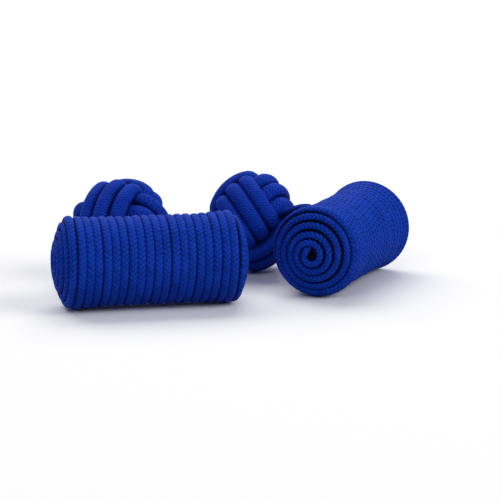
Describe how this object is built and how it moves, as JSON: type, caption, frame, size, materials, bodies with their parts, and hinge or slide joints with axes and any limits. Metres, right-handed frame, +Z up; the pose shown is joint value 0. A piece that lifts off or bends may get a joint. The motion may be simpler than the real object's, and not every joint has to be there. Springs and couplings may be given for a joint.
{
  "type": "pair of cord cufflinks",
  "caption": "Pair of blue cord cufflinks: each has a cord-wound barrel and a round cord knot on a short two-strand link, to hold a double shirt cuff shut.",
  "frame": {"origin": "middle of the pair's box, on the table", "axes": "+X to the right in the picture and along the longest side, +Y away from the camera, +Z up"},
  "size_m": [0.0434, 0.034, 0.0131],
  "materials": {
    "barrel_cord": "royal blue, thin braided cord with a chevron face and a soft sheen",
    "knot_cord": "royal blue, finely ribbed cord with a soft sheen",
    "link_cord": "royal blue, finely ribbed cord, matte",
    "former": "plain, hidden under the cord"
  },
  "bodies": {
    "left_barrel": {"left_barrel_core": "former", "left_barrel_winding": "barrel_cord", "left_near_end_coil": "barrel_cord", "left_far_end_coil": "barrel_cord", "left_link_anchor": "link_cord"},
    "left_link": {"left_link_cord": "link_cord"},
    "left_knot": {"left_knot_cord": "knot_cord", "left_knot_bead": "former", "left_knot_neck": "link_cord"},
    "right_barrel": {"right_barrel_core": "former", "right_barrel_winding": "barrel_cord", "right_near_end_coil": "barrel_cord", "right_far_end_coil": "barrel_cord", "right_link_anchor": "link_cord"},
    "right_link": {"right_link_cord": "link_cord"},
    "right_knot": {"right_knot_cord": "knot_cord", "right_knot_bead": "former", "right_knot_neck": "link_cord"}
  },
  "joints": [
    {"name": "pair_separation", "type": "slide", "parent": "left_barrel", "child": "right_barrel", "axis": [1, 0, 0], "range_m": [0, 0.03]},
    {"name": "left_link_fold", "type": "hinge", "parent": "left_barrel", "child": "left_link", "pos_m": [-0.01141, -0.00356, 0.00649], "axis": [0.9751, 0.2215, 0], "range_deg": [-60, 75]},
    {"name": "left_knot_twist", "type": "hinge", "parent": "left_link", "child": "left_knot", "pos_m": [-0.01429, 0.00687, 0.0063], "axis": [-0.2663, 0.9637, -0.0173], "range_deg": [-90, 90]},
    {"name": "right_link_fold", "type": "hinge", "parent": "right_barrel", "child": "right_link", "pos_m": [0.00818, 0.00612, 0.00873], "axis": [0.36, 0.933, 0], "range_deg": [-15, 60]},
    {"name": "right_knot_twist", "type": "hinge", "parent": "right_link", "child": "right_knot", "pos_m": [0.00177, 0.01052, 0.00644], "axis": [-0.7908, 0.5432, -0.2821], "range_deg": [-60, 60]}
  ]
}
